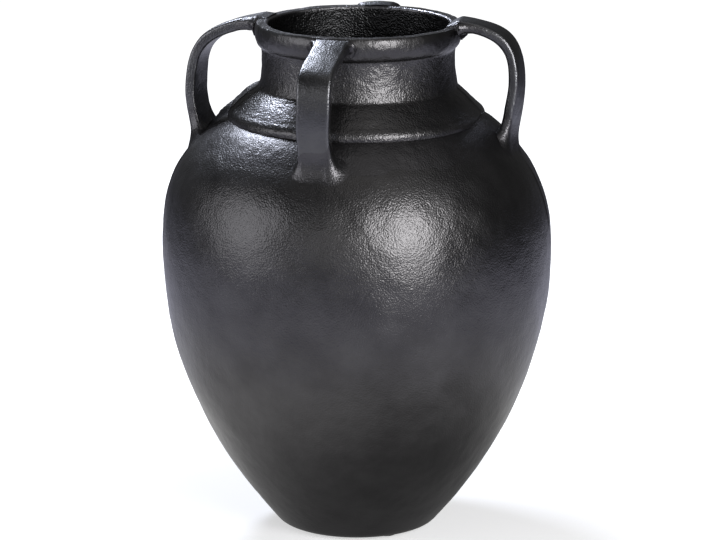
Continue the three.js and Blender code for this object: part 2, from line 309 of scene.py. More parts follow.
def make_piece(name, points, quads, fans=(), wear=0.0, sand=1.0):
    """Puts points in millimetres and faces into a mesh object, with its marks as attributes."""
    points = out_of_true(points)
    fans = np.asarray(fans, int).reshape(-1, 3)
    if signed_volume(points, quads) + signed_volume(points, fans) < 0:
        quads, fans = quads[:, ::-1], fans[:, ::-1]
    corners = np.concatenate([quads.ravel(), fans.ravel()])
    sizes = np.r_[np.full(len(quads), 4), np.full(len(fans), 3)]
    mesh = bpy.data.meshes.new(name)
    mesh.vertices.add(len(points))
    mesh.vertices.foreach_set("co", (points * MM).ravel())
    mesh.loops.add(len(corners))
    mesh.loops.foreach_set("vertex_index", corners)
    mesh.polygons.add(len(sizes))
    mesh.polygons.foreach_set("loop_start", np.r_[0, np.cumsum(sizes)[:-1]])
    mesh.update(calc_edges=True)
    mesh.validate()
    mesh.shade_smooth()
    mesh.set_sharp_from_angle(angle=SHARP_FROM)
    for mark, value in (("wear", wear), ("sand", sand)):
        layer = mesh.attributes.new(mark, "FLOAT", "POINT")
        layer.data.foreach_set("value", np.zeros(len(points)) + value)
    piece = bpy.data.objects.new(name, mesh)
    bpy.context.collection.objects.link(piece)
    return piece


def dress(piece, material, node):
    """Gives a piece its finish, lets it ride on the vase and stand for its solid."""
    piece.data.materials.append(material)
    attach(piece, "root")
    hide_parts(node)
    print(piece.name, len(piece.data.polygons), "faces")


# %% [markdown]
# ## The marks of hand work
# A sand casting is never quite true. Slow waves a few centimetres long bend every reflection,
# and that is what the eye reads as metal that was poured and not turned. A sum of sine waves in
# random directions gives such a field, the same each run because its dice are seeded.
# The mould came apart in two halves, and metal crept into the joint between them: a low seam
# runs down the shoulder on each side, where the grinder left it.

# %% Wave fields
SEEDS = dict(body=11, neck=31, grain=34, bead=51, web=53, painted_highlight=90, strap=100, rim=200, foot=300)
SEED_STEP = 10
WAVE_COUNT, PACE_SPREAD = 20, (0.75, 1.35)
CAST_WAVES = (0.22, 70), (0.07, 22), (0.035, 8)


def waves(points, length, seed):
    """Sum of plane waves sin(k.p + phase) with lengths near the one given, scaled to spread 1."""
    dice = np.random.default_rng(seed)
    heading = unit(dice.normal(size=(WAVE_COUNT, 3)))
    pace = 2 * pi / (length * dice.uniform(*PACE_SPREAD, WAVE_COUNT))
    phase = dice.uniform(0, 2 * pi, WAVE_COUNT)
    total = np.zeros(points.shape[:-1])
    for direction, speed, start in zip(heading, pace, phase):
        total += np.sin(points @ (direction * speed) + start)
    return total * np.sqrt(2 / WAVE_COUNT)


def relief_of(points, seed, *kinds):
    """Height of a skin in millimetres: for each kind, its height times waves of its length."""
    return sum(height * waves(points, length, seed + k) for k, (height, length) in enumerate(kinds))


# %% Turns round the axis, and the mould's seams
SEAM_TURNS = (radians(96), radians(-75))
SEAM_HEIGHT, SEAM_WIDTH = 0.8, 1.8
SEAM_LOW, SEAM_HIGH = 215, 265
SEAM_PACKING, PACKING_SPREAD = 3.0, radians(6)


def turn_from(turns, middle):
    """Signed turn from a middle, between minus and plus half a circle."""
    return (turns - middle + pi) % (2 * pi) - pi


def packed_turns(count):
    """Turns with more of them near the seams: equal steps of a running sum of their density."""
    even = np.linspace(0, 2 * pi, 8 * count)
    density = 1 + SEAM_PACKING * sum(bell(turn_from(even, seam), PACKING_SPREAD)
                                     for seam in SEAM_TURNS)
    running = np.r_[0, np.cumsum((density[1:] + density[:-1]) / 2)]
    return np.interp(np.linspace(0, running[-1], count, endpoint=False), running, even)


def seam_relief(grid):
    """A narrow bell on each seam, which fades below the shoulder. Turn 0 is the front."""
    radius, turns = np.hypot(grid[..., 0], grid[..., 1]), np.arctan2(grid[..., 0], -grid[..., 1])
    total = sum(bell(turn_from(turns, seam) * radius, SEAM_WIDTH) for seam in SEAM_TURNS)
    return SEAM_HEIGHT * total * ramp(grid[..., 2], SEAM_LOW, SEAM_HIGH)


# %% [markdown]
# ## Body: belly, foot and shoulder
# The belly is one hollow casting. Its outline is two smooth curves: a wall that leans out from
# the foot to the widest point, and a shoulder that rolls over from there to the collar's edge.
# The shoulder ends in an upright lip that the neck casting drops over. Inside, the same curves
# lie one wall thickness further in.

# %% Sizes of the body, from the frame
body_low, body_high = (np.array(corner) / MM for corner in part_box("body"))
neck_low, neck_high = (np.array(corner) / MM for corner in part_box("neck"))
FIT_GAP = 0.3
foot_height = body_low[2]
belly_radius = body_high[0]
rim_height = neck_high[2]
collar_radius = neck_high[0]
seat_height = neck_low[2] - FIT_GAP
lip_height = body_high[2] - seat_height
BELLY_RISE = 222.5
FOOT_RADIUS, FOOT_EDGE = 60.5, 6.0
WALL, FLOOR = 5.5, 8.0
RECESS_RADIUS, RECESS_DEPTH = 36.0, 2.5
FOOT_LEAN, FOOT_FULLNESS = radians(40.2), 43.8
LOWER_FULLNESS, UPPER_FULLNESS, SEAT_FULLNESS = 113.8, 77.0, 12.5
SEAT_SLOPE = radians(32)
COLLAR_SKIRT, LIP_THICKNESS = 8.0, 5.2
belly_height = foot_height + BELLY_RISE
lip_radius = collar_radius - COLLAR_SKIRT - FIT_GAP
print("rim, belly, seat:",
      *(round(float(size), 1) for size in (rim_height, belly_radius, seat_height)))

# %% The four handles
# Turn, droop, lean and the twist at bend and foot are in degrees, and the edge's rounding in
# millimetres. Lift, span, bulge and stance are shares of a middling handle's. The rest says how
# strong the painted highlight on the crown is, and how far the welds spread at the rim, the foot
# and its two sides.
LIFT, SPAN, BULGE, STANCE = 2.0, 53.0, 46.0, 23.0
HANDLES = {
    "front": dict(turn=0.8, droop=24, lean=17, lift=-0.5, span=1.03, bulge=0.91, stance=0.97,
                  painted_highlight=0.35, edge=2.2, twist=(0, 0), bead=1.0, flare=1.0, sides=(0.45, 1.0)),
    "right": dict(turn=93.7, droop=5, lean=8, lift=2.65, span=0.91, bulge=1, stance=0.92,
                  painted_highlight=0.2, edge=3.4, twist=(3.3, 9.5), bead=1.35, flare=1.0, sides=(1.0, 1.0)),
    "back": dict(turn=183.5, droop=12, lean=12, lift=1.25, span=0.97, bulge=1, stance=1.01,
                 painted_highlight=0.3, edge=2.6, twist=(0, 0), bead=1.0, flare=1.0, sides=(1.0, 1.0)),
    "left": dict(turn=267, droop=11.5, lean=20, lift=0.85, span=1.085, bulge=1.09, stance=1.27,
                 painted_highlight=0.3, edge=2.2, twist=(0, 6.5), bead=1.8, flare=0.45, sides=(1.0, 1.0)),
}

# %% Outline curves of the body
CURVE_POINTS = 400
GROUND_REACH, GROUND_SHARE = 30.0, 0.9
wall_curve = bezier([
    (FOOT_RADIUS, foot_height),
    (FOOT_RADIUS + FOOT_FULLNESS * sin(FOOT_LEAN), foot_height + FOOT_FULLNESS * cos(FOOT_LEAN)),
    (belly_radius, belly_height - LOWER_FULLNESS),
    (belly_radius, belly_height)], CURVE_POINTS)
shoulder_curve = bezier([
    (belly_radius, belly_height),
    (belly_radius, belly_height + UPPER_FULLNESS),
    (collar_radius + SEAT_FULLNESS * cos(SEAT_SLOPE), seat_height - SEAT_FULLNESS * sin(SEAT_SLOPE)),
    (collar_radius, seat_height)], CURVE_POINTS)
outer_curve = np.concatenate([wall_curve, shoulder_curve[1:]])


def shoulder_height(radius):
    """Height of the shoulder's surface at a radius, read off its curve."""
    return np.interp(radius, shoulder_curve[::-1, 0], shoulder_curve[::-1, 1])


def turned(radius, height, turns):
    """Points at a radius r, height z and turn t round the axis: (r sin t, -r cos t, z)."""
    across = radius * np.sin(turns)
    return np.stack([across, -radius * np.cos(turns), np.broadcast_to(height, across.shape)],
                    axis=-1)


def turn_profile(profile, turns):
    """Grid of points: each point (r, z) of a profile at every turn."""
    return turned(profile[:, 0, None], profile[:, 1, None], turns)


def push_along_normals(grid, normals, amount):
    """Moves turned points along their profile's normal: outwards by n_r and upwards by n_z."""
    radius = np.hypot(grid[..., 0], grid[..., 1])[..., None] + TINY
    outward = grid[..., :2] / radius
    side = outward * normals[:, None, :1]
    up = np.broadcast_to(normals[:, None, 1:], side[..., :1].shape)
    return grid + np.concatenate([side, up], axis=-1) * amount[..., None]


def near_feet(grid):
    """1 at each handle's foot, fading over a few centimetres: where the grinder went."""
    share = np.zeros(grid.shape[:-1])
    for handle in HANDLES.values():
        angle, radius = radians(handle["turn"]), collar_radius + handle["stance"] * STANCE
        foot = np.array([radius * sin(angle), -radius * cos(angle), shoulder_height(radius)])
        away = np.linalg.norm(grid - foot, axis=-1)
        share = np.maximum(share, bell(away, GROUND_REACH, 4))
    return share


# %% Body mesh
CASTING_TURNS = packed_turns(480)
BODY_RINGS, INSIDE_RINGS, EASE_RINGS, FOOT_POINTS = 150, 24, 12, 6
SMOOTH_BELOW, COARSE_ABOVE, RUBBED_PRINT = 70, 230, 0.35


def body_piece():
    """Closed profile, foot to seat and back down inside, turned with poles at both ends."""
    start = np.searchsorted(travel(wall_curve), FOOT_EDGE) - 1
    foot_round = bezier([(FOOT_RADIUS - FOOT_EDGE, foot_height), (FOOT_RADIUS, foot_height),
                         wall_curve[start]], FOOT_POINTS)
    outside = respace(outer_curve[start:], BODY_RINGS)
    inner_curve = outer_curve - line_normals(outer_curve) * WALL
    floor_height = foot_height + FLOOR
    inner_curve = inner_curve[inner_curve[:, 1] > floor_height + FOOT_EDGE][::-1]
    inside = respace(inner_curve, INSIDE_RINGS)
    floor_edge = (inside[-1, 0] - FOOT_EDGE, floor_height)
    recess_height = foot_height + RECESS_DEPTH
    under = [(RECESS_RADIUS / 2, recess_height), (RECESS_RADIUS, recess_height),
             (RECESS_RADIUS + RECESS_DEPTH, foot_height)]
    lip = [(lip_radius, seat_height), (lip_radius, seat_height + lip_height),
           (lip_radius - LIP_THICKNESS, seat_height + lip_height),
           (lip_radius - LIP_THICKNESS, seat_height - WALL)]
    profile = np.concatenate([under, foot_round[:-1], outside, lip, inside, [floor_edge],
                              [(floor_edge[0] / 2, floor_height)]])
    first = len(under) + len(foot_round) - 1
    ease = np.linspace(0, 1, EASE_RINGS)
    weight = np.zeros(len(profile))
    weight[first:first + BODY_RINGS] = np.r_[ease, np.ones(BODY_RINGS - 2 * EASE_RINGS), ease[::-1]]
    grid = turn_profile(profile, CASTING_TURNS)
    relief = (relief_of(grid, SEEDS["body"], *CAST_WAVES) + seam_relief(grid)) * weight[:, None]
    relief = relief * (1 - GROUND_SHARE * near_feet(grid))
    grid = push_along_normals(grid, line_normals(profile), relief)
    poles = np.array([[0, 0, recess_height], [0, 0, floor_height]])
    sand = RUBBED_PRINT + (1 - RUBBED_PRINT) * ramp(grid[..., 2], SMOOTH_BELOW, COARSE_ABOVE)
    return close_turned("body_casting", grid, poles, sand=np.r_[sand.ravel(), 1, 1])


def close_turned(name, grid, poles, **marks):
    """Joins a turned grid to one point on the axis at each end, so that it holds water."""
    rows, columns = grid.shape[:2]
    points = np.concatenate([grid.reshape(-1, 3), poles])
    ring = np.arange(columns)
    following = (ring + 1) % columns
    last = (rows - 1) * columns
    fans = np.concatenate([
        np.stack([np.full(columns, rows * columns), following, ring], axis=1),
        np.stack([np.full(columns, rows * columns + 1), last + ring, last + following], axis=1)])
    return make_piece(name, points, grid_quads(rows, columns), fans, **marks)


body = body_piece()
dress(body, belly_metal, "body")

# %% [markdown]
# ## Neck: collar, waist and rim band
# The neck is a second casting. Its collar starts as a rounded roll, slopes up straight to a tight
# crease, the waist is a little hollow, and the rim is a plump band between a wide groove and the
# flat top of the mouth. A sand mould's corners are never sharp, so the outline is averaged over
# two millimetres. Hands and cloths polish the mouth's edges, so the black is thinnest there. A
# patch of the collar's slope left of the front handle is painted lighter: a painted highlight.
# The lining is coloured darker, as painted shade inside the mouth. Beside the left handle weld
# was run on up the collar's slope, as a low ridge.

# %% Sizes of the neck
NECK_RADIUS, NECK_WALL, BAND_OVERHANG = 74.8, 4.5, 5.0
COLLAR_RISE, BAND_RISE = 28.0, 18.4
COLLAR_SLOPE = radians(41.5)
NOSE_UNDERCUT, NOSE_START, NOSE_BULGE = 0.8, 1.5, 0.3
NOSE_RISE, NOSE_SETBACK, NOSE_FULLNESS, SLOPE_SWELL = 8.8, 5.2, 1.4, 0.8
CREASE_FLARE, WAIST_HOLLOW, WAIST_FULLNESS = 2.6, 0.8, 8.0
GROOVE_STEP, GROOVE_FULLNESS = 0.6, 5.0
BAND_SWELL, BAND_FULLNESS, BAND_DROP, BAND_SETBACK = (4.6, 1.4), 1.8, 3.2, 1.6
BAND_PRINT = 0.45
# Painted highlight: a lighter patch on the collar's slope, at a turn left of the front handle.
SLOPE_HIGHLIGHT_TURN, SLOPE_HIGHLIGHT_TURNS, SLOPE_HIGHLIGHT = radians(-31), radians(14), 0.6
SLOPE_HIGHLIGHT_STARTS, SLOPE_HIGHLIGHT_ENDS = (10, 15), (-5, 0)
MOUTH_EDGE, MOUTH_WEAR, POLISH_DEPTH, POLISH_WIDTH = 2.0, 0.5, 1.3, 2.6
LINING_FULLNESS, SOCKET_HEADROOM = 7.5, 1.0
SHORT_CURVE, LONG_CURVE, MOUTH_POINTS, TOP_POINTS = 24, 60, 8, 10
crease_height = seat_height + COLLAR_RISE
band_height = rim_height - BAND_RISE
band_radius = NECK_RADIUS + BAND_OVERHANG
bore_radius = NECK_RADIUS - NECK_WALL


# %% Outline of the neck
def neck_outline():
    """Outer line from the collar's foot to the rim's top, with each corner a short curve."""
    nose_edge = np.array([collar_radius + NOSE_BULGE, seat_height + NOSE_RISE])
    top_radius = collar_radius - NOSE_SETBACK
    fall = (top_radius - NECK_RADIUS - CREASE_FLARE) * np.tan(COLLAR_SLOPE)
    nose_top = np.array([top_radius, crease_height - fall])
    nose = bezier([(collar_radius - NOSE_UNDERCUT, seat_height + NOSE_START),
                   nose_edge - (0, 2 * NOSE_FULLNESS), nose_edge, nose_top], SHORT_CURVE)
    crease = np.array([NECK_RADIUS + CREASE_FLARE, crease_height])
    swell = SLOPE_SWELL * np.array([sin(COLLAR_SLOPE), cos(COLLAR_SLOPE)])
    slope = bezier([nose_top, (nose_top + crease) / 2 + swell, crease], SHORT_CURVE)
    hollow = NECK_RADIUS - WAIST_HOLLOW
    groove = np.array([NECK_RADIUS + GROOVE_STEP, band_height])
    waist = bezier([crease, (hollow, crease_height + WAIST_FULLNESS),
                    (hollow, band_height - GROOVE_FULLNESS), groove], LONG_CURVE)
    band = bezier([groove, groove + BAND_SWELL, (band_radius + BAND_FULLNESS, rim_height - BAND_DROP),
                   (band_radius - BAND_SETBACK, rim_height)], LONG_CURVE)
    foot = (collar_radius - NOSE_UNDERCUT, seat_height + FIT_GAP)
    return np.concatenate([[foot], nose, slope[1:], waist[1:], band[1:]])


def averaged(line, span, step=0.2):
    """Replaces each point by the mean of its neighbours within the span; the ends stay."""
    fine = respace(line, int(travel(line)[-1] / step))
    reach = int(span / step / 2)
    padded = np.concatenate([2 * fine[0] - fine[reach:0:-1], fine,
                             2 * fine[-1] - fine[-2:-reach - 2:-1]])
    running = np.concatenate([[(0, 0)], np.cumsum(padded, axis=0)])
    return (running[2 * reach + 1:] - running[:-2 * reach - 1]) / (2 * reach + 1)


# %% Neck mesh
CORNER_SPAN, NECK_POINTS, THROAT_POINTS, LINING_POINTS = 1.8, 120, 30, 60
NECK_GRAIN = 0.05, 4.5
WEB_TURN, WEB_SPREAD, WEB_HEIGHT = radians(268), radians(4.6), 3.2
WEB_ENDS, SEAM_ENDS, CALM_RISE = (-9, 4), (-4, 6), 4
FILL_TURN, FILL_SPREAD, FILL_SHARE = radians(94), radians(14), 0.8


def web_share(turns):
    """Bell round the left handle's turn, where weld was run on between the neck and its foot."""
    return bell(turn_from(turns, WEB_TURN), WEB_SPREAD)


def neck_piece():
    """Closed profile: outline up, over the mouth's rounded lip, and down the lining."""
    outline = respace(averaged(neck_outline(), CORNER_SPAN), NECK_POINTS)
    mouth = rounded((bore_radius, rim_height), (band_radius, rim_height), (bore_radius, 0),
                    MOUTH_EDGE, MOUTH_POINTS)
    top = np.linspace(outline[-1], mouth[0], TOP_POINTS)[1:-1]
    socket = lip_radius + FIT_GAP
    socket_height = seat_height + lip_height + SOCKET_HEADROOM
    throat = bezier([(bore_radius, crease_height), (bore_radius, crease_height - LINING_FULLNESS),
                     (socket, socket_height + LINING_FULLNESS), (socket, socket_height)],
                    THROAT_POINTS)
    lining = respace(np.concatenate([mouth[-1:], throat, [(socket, seat_height + FIT_GAP)]]),
                     LINING_POINTS)
    profile = np.concatenate([outline, top, mouth, lining[1:]])
    grid = turn_profile(profile, CASTING_TURNS)
    height = grid[..., 2]
    above_seat, above_crease = height - seat_height, height - crease_height
    outside = (np.arange(len(profile)) < len(outline))[:, None]
    web = WEB_HEIGHT * web_share(CASTING_TURNS) * (1 - ramp(above_crease, *WEB_ENDS))
    low_seam = seam_relief(grid) * (1 - ramp(above_crease, *SEAM_ENDS))
    relief = (relief_of(grid, SEEDS["neck"], *CAST_WAVES)
              + relief_of(grid, SEEDS["grain"], NECK_GRAIN) + (web + low_seam) * outside)
    relief = relief * ramp(above_seat, 0, CALM_RISE)
    grid = push_along_normals(grid, line_normals(profile), relief)
    mouth_edge = (bell(profile[:, 1] - rim_height, POLISH_DEPTH)
                  * (profile[:, 0] < bore_radius + POLISH_WIDTH))
    # Painted highlight on the collar's slope, added to the real wear at the mouth's edges.
    on_slope = ramp(above_seat, *SLOPE_HIGHLIGHT_STARTS) * (1 - ramp(above_crease, *SLOPE_HIGHLIGHT_ENDS))
    painted_highlight = SLOPE_HIGHLIGHT * bell(turn_from(CASTING_TURNS, SLOPE_HIGHLIGHT_TURN), SLOPE_HIGHLIGHT_TURNS, 4)
    wear = np.maximum(MOUTH_WEAR * mouth_edge[:, None], painted_highlight * on_slope * outside).ravel()
    sand = 1 - (1 - BAND_PRINT) * ramp(height, band_height - 1, band_height + 3) * outside
    piece = make_piece("neck_casting", grid.reshape(-1, 3),
                       grid_quads(*grid.shape[:2], wrap_rows=True), wear=wear, sand=sand.ravel())
    row = np.repeat(np.arange(len(profile)), len(CASTING_TURNS))
    inside = (row >= len(outline) + len(top) + len(mouth) - 2) & (row < len(profile) - 1)
    piece.data.polygons.foreach_set("material_index", inside.astype(np.int32))
    return piece


neck = neck_piece()
dress(neck, neck_metal, "neck")
# The lining faces get the darker colours of painted shade.
neck.data.materials.append(shaded_lining_metal)

# %% [markdown]
# ## Collar weld
# The two castings are joined by a weld all round the collar's foot, ground until it runs out
# smoothly on the shoulder. The bead's section is a curved triangle: one side against the
# shoulder, one against the collar, and a face that bends from one to the other. Beside the left
# handle the welder carried on and filled the whole step, so there the face is higher and wider,
# and beside the right handle most of the step is filled.

# %% Collar bead
WELD_RISE, WELD_REACH, WELD_CORNER = 3.4, 24.2, (10.4, -1.8)
WEB_REACH, WEB_RISE, WEB_CORNER = 3.0, 9.0, (4.6, 5.0)
COLLAR_INSET, TOE_SINK = 0.6, 0.1
UNDER_INSET, UNDER_DROP, UNDER_SINK, TOE_TUCK = 4, 1.5, 3, (1, 2)
BEAD_ROWS, BEAD_WAVES, WEB_WAVES = 22, ((0.06, 9), (0.1, 26)), ((0.35, 5), (0.3, 11))


def collar_bead():
    """At each turn a quadratic curve from toe to collar, closed by a corner under the skin."""
    fill = FILL_SHARE * bell(turn_from(CASTING_TURNS, FILL_TURN), FILL_SPREAD)
    share = web_share(CASTING_TURNS) + fill
    toe = collar_radius + WELD_REACH + WEB_REACH * share
    top = seat_height + WELD_RISE + WEB_RISE * share
    edge, under, low = (value + 0 * share for value in (
        collar_radius - COLLAR_INSET, collar_radius - UNDER_INSET, seat_height - UNDER_SINK))
    start, corner, end, *hidden = (np.stack(place, axis=-1) for place in (
        (toe, shoulder_height(toe) - TOE_SINK),
        (collar_radius + WELD_CORNER[0] + WEB_CORNER[0] * share,
         seat_height + WELD_CORNER[1] + WEB_CORNER[1] * share),
        (edge, top), (under, top - UNDER_DROP), (under, low),
        (toe - TOE_TUCK[0], shoulder_height(toe) - TOE_TUCK[1])))
    section = np.concatenate([swept(start, corner, end, BEAD_ROWS), hidden])
    grid = turned(section[..., 0], section[..., 1], CASTING_TURNS)
    calm = np.r_[np.sin(np.linspace(0, pi, BEAD_ROWS)), 0, 0, 0][:, None]
    rough = (relief_of(grid, SEEDS["bead"], *BEAD_WAVES)
             + web_share(CASTING_TURNS) * relief_of(grid, SEEDS["web"], *WEB_WAVES))
    grid = grid + grid_normals(grid) * (rough * calm)[..., None]
    return make_piece("collar_bead", grid.reshape(-1, 3), grid_quads(*grid.shape[:2], wrap_rows=True))


def grid_normals(grid):
    """Unit normals of a grid that closes across its columns, from its two directions."""
    along = np.gradient(grid, axis=0)
    around = np.roll(grid, -1, axis=1) - np.roll(grid, 1, axis=1)
    return unit(np.cross(along, around))


bead = collar_bead()
dress(bead, bead_metal, "collar_weld")

# %% [markdown]
# ## Handles
# Each handle is a flat strap, cast straight, filed, bent hot and welded on. Its outer face
# follows a curve in an upright plane through the axis: up from a thin end at the mouth, out over
# the rim, round the bend, down the leg and into the shoulder. A rounded rectangle is carried
# along it. The four were bent by hand, so each has its own turn, height and reach.

# %% Paths of the straps
STRAP_WIDTH, STRAP_THICKNESS = 26.0, 8.0
CROWN_FULLNESS, BEND_FULLNESS, LEG_FULLNESS, FOOT_STRAIGHT = 40.7, 32.4, 20.1, 15.2
ROOT_INSET, ROOT_FEATHER, FOOT_SINK, FOOT_DROP = 1.0, 0.8, 16.0, 17.0
STRAP_RINGS, STRAP_AROUND, CURVE_ROWS, CORNER_ROWS, BEND_EASE = 260, 96, 120, 9, 4.0


def strap_path(handle):
    """Outer face in its plane: a feathered root, two cubic curves and a straight into the body."""
    droop, lean = radians(handle["droop"]), radians(handle["lean"])
    lift = handle["lift"] * LIFT
    mouth = (bore_radius + ROOT_INSET, rim_height + min(lift, ROOT_FEATHER))
    root = np.array([band_radius, rim_height + lift])
    bulge = np.array([band_radius + handle["span"] * SPAN, rim_height - handle["bulge"] * BULGE])
    foot = np.array([collar_radius + handle["stance"] * STANCE, seat_height - FOOT_DROP])
    down = np.array([sin(lean), cos(lean)])
    crown = bezier([root, root + CROWN_FULLNESS * np.array([cos(droop), -sin(droop)]),
                    bulge + (0, BEND_FULLNESS), bulge], CURVE_ROWS)
    leg = bezier([bulge, bulge - (0, LEG_FULLNESS), foot + FOOT_STRAIGHT * down, foot], CURVE_ROWS)
    parts = [[mouth], crown, leg[1:], [foot - FOOT_SINK * down]]
    return respace(averaged(np.concatenate(parts), BEND_EASE), STRAP_RINGS)


def strap_section(count, width, thickness, edge):
    """Rounded rectangle as an even loop of (depth, side) points, depth 0 on the outer face."""
    corners = [(-thickness, -width / 2), (0, -width / 2), (0, width / 2), (-thickness, width / 2)]
    loop = np.concatenate([rounded(corners[k], corners[k - 1], corners[(k + 1) % 4], edge,
                                   CORNER_ROWS) for k in range(4)])
    return respace(np.concatenate([loop, loop[:1]]), count + 1)[:-1]


def carry(path, section, turn):
    """Grid of points: each path point plus depth along its normal and side across its plane."""
    normals = line_normals(path) * (-1, -1)
    radial = path[:, None, 0] + normals[:, None, 0] * section[..., 0]
    height = path[:, None, 1] + normals[:, None, 1] * section[..., 0]
    side = np.broadcast_to(section[..., 1], radial.shape)
    angle = radians(turn)
    return np.stack([side * cos(angle) + radial * sin(angle),
                     side * sin(angle) - radial * cos(angle), height], axis=-1)


# %% Strap meshes
WAVER, WAVER_PACE, FACE_CROWN, STRAP_WAVES = 0.02, 7, 0.5, ((0.14, 30), (0.03, 9))
TWIST_TO_BEND, TWIST_TO_FOOT = (0.1, 0.4), (0.4, 0.8)
# Edge wear, and the painted highlight on the crown: its place and spread outwards and sideways.
EDGE_WEAR, CROWN_HIGHLIGHT_PLACE, CROWN_HIGHLIGHT_SPREAD = 0.15, (2.0, -7.0), (7.0, 10.0)
CROWN_HIGHLIGHT_STARTS, CROWN_HIGHLIGHT_WAVES = (-12, -6), (0.25, 7)


def strap_loop(handle):
    """The section of one handle's strap, with its own rounding of the edges."""
    return strap_section(STRAP_AROUND, STRAP_WIDTH, STRAP_THICKNESS, handle["edge"])


def close_tube(name, grid, wear=0.0):
    """Closes a carried section at both ends with a fan round the middle of its last ring."""
    middles = np.stack([grid[0].mean(axis=0), grid[-1].mean(axis=0)])
    return close_turned(name, grid, middles, wear=np.r_[np.zeros(grid[..., 0].size) + wear, 0, 0])


def strap_grid(handle, seed):
    """The strap with a faint crown on its face, a waver in its width, a twist and file marks."""
    path = strap_path(handle)
    section = np.broadcast_to(strap_loop(handle), (STRAP_RINGS, STRAP_AROUND, 2)).copy()
    arc = np.linspace(0, 1, STRAP_RINGS)[:, None]
    section[..., 1] *= 1 + WAVER * np.sin(WAVER_PACE * arc + seed)
    crown = 1 - (2 * section[..., 1] / STRAP_WIDTH) ** 2
    section[..., 0] += FACE_CROWN * crown * np.clip(section[..., 0] + STRAP_THICKNESS / 2, -1, 1)
    at_bend, at_foot = (radians(angle) for angle in handle["twist"])
    twist = at_bend * ramp(arc, *TWIST_TO_BEND) + (at_foot - at_bend) * ramp(arc, *TWIST_TO_FOOT)
    depth, side = section[..., 0], section[..., 1]
    section = np.stack([depth * np.cos(twist) + side * np.sin(twist),
                        side * np.cos(twist) - depth * np.sin(twist)], axis=-1)
    grid = carry(path, section, handle["turn"])
    return grid + grid_normals(grid) * relief_of(grid, seed, *STRAP_WAVES)[..., None]


def corner_wear(section_loop):
    """Wear on the strap's four edges: 1 where the loop turns a corner and 0 on its flats."""
    turning = np.linalg.norm(np.roll(section_loop, 1, 0) + np.roll(section_loop, -1, 0)
                             - 2 * section_loop, axis=1)
    return turning / turning.max()


def crown_wear(grid, handle):
    """Painted highlight on the crown: a lighter patch, a bell in length and width, broken up by
    waves.
    """
    angle = radians(handle["turn"])
    outwards = grid[..., 0] * sin(angle) - grid[..., 1] * cos(angle) - band_radius
    sideways = grid[..., 0] * cos(angle) + grid[..., 1] * sin(angle)
    patch = np.exp(-((outwards - CROWN_HIGHLIGHT_PLACE[0]) / CROWN_HIGHLIGHT_SPREAD[0]) ** 2
                   - ((sideways - CROWN_HIGHLIGHT_PLACE[1]) / CROWN_HIGHLIGHT_SPREAD[1]) ** 2)
    high = ramp(grid[..., 2] - rim_height, *CROWN_HIGHLIGHT_STARTS)
    return handle["painted_highlight"] * patch * high * (1 + relief_of(grid, SEEDS["painted_highlight"], CROWN_HIGHLIGHT_WAVES))


strap_grids = {}
for number, (side, handle) in enumerate(HANDLES.items()):
    strap_grids[side] = strap_grid(handle, SEEDS["strap"] + SEED_STEP * number)
    edges = corner_wear(strap_loop(handle))
    # Real wear on the edges, and a painted highlight on the crown.
    wear = np.maximum(edges * EDGE_WEAR, crown_wear(strap_grids[side], handle)).ravel()
    dress(close_tube(f"strap_{side}", strap_grids[side], wear), strap_metal, f"handle_{side}")

# %% [markdown]
# ## Beads beside and under the roots
# Weld was run along both sides of each root and underneath it, then dressed round. The bead is
# the strap's own section grown outwards: it leaves the strap without an edge, swells along a
# quarter circle until it meets the rim band, and its corners get rounder as it grows, so that
# the root seems to flow into the rim.

# %% Rim beads
RIM_LEG, RIM_LENGTH, RIM_SHY, RIM_ROUNDING, RIM_SINK = 6.0, 15.0, 0.4, 0.9, 0.15
RIM_ROWS, UNDER_ROWS, RIM_GROWTH, RIM_WAVES = 36, 8, 0.4, ((0.25, 6), (0.2, 12))


def rim_bead(side, handle, seed):
    """Section grown by leg * (1 - sqrt(1 - s^2)), s rising to 1 at the band, carried on the path."""
    path = strap_path(handle)
    third = STRAP_RINGS // 3
    root_arc = np.interp(band_radius, path[:third, 0], travel(path)[:third])
    share = np.sin(np.linspace(0, pi / 2, RIM_ROWS))
    length = RIM_LENGTH * handle["bead"]
    swell = RIM_LEG * handle["bead"] ** RIM_GROWTH * (1 - np.sqrt(1 - share ** 2)) - RIM_SINK
    inner = np.linspace(root_arc, root_arc - RIM_LEG, UNDER_ROWS)[1:]
    stations = np.r_[root_arc + length * (1 - share), inner]
    swell = np.r_[swell, np.linspace(swell[-1], swell[-1] / 3, len(inner))]
    spots = points_at(path, stations)
    loops = np.stack([strap_section(STRAP_AROUND, STRAP_WIDTH + 2 * s, STRAP_THICKNESS + s - RIM_SHY,
                                    handle["edge"] + RIM_ROUNDING * max(s, 0)) for s in swell])
    loops[..., 0] -= RIM_SHY
    grid = carry(spots[::-1], loops[::-1], handle["turn"])
    relief = relief_of(grid, seed, *RIM_WAVES) * (swell[::-1, None] / RIM_LEG)
    return close_tube(f"rim_bead_{side}", grid + grid_normals(grid) * relief[..., None])


for number, (side, handle) in enumerate(HANDLES.items()):
    rim_weld = rim_bead(side, handle, SEEDS["rim"] + SEED_STEP * number)
    dress(rim_weld, bead_metal, f"rim_weld_{side}")

# %% [markdown]
# ## Fillets round the feet
# At the foot the weld is built up and ground into a flare like a fish's tail, so that the strap
# seems to grow out of the shoulder. Each line down the strap's skin is followed to where it
# meets the shoulder. A quadratic curve then starts a little higher on the strap, heads for that
# meeting point, and lands on the shoulder further out, so it touches both without an edge.

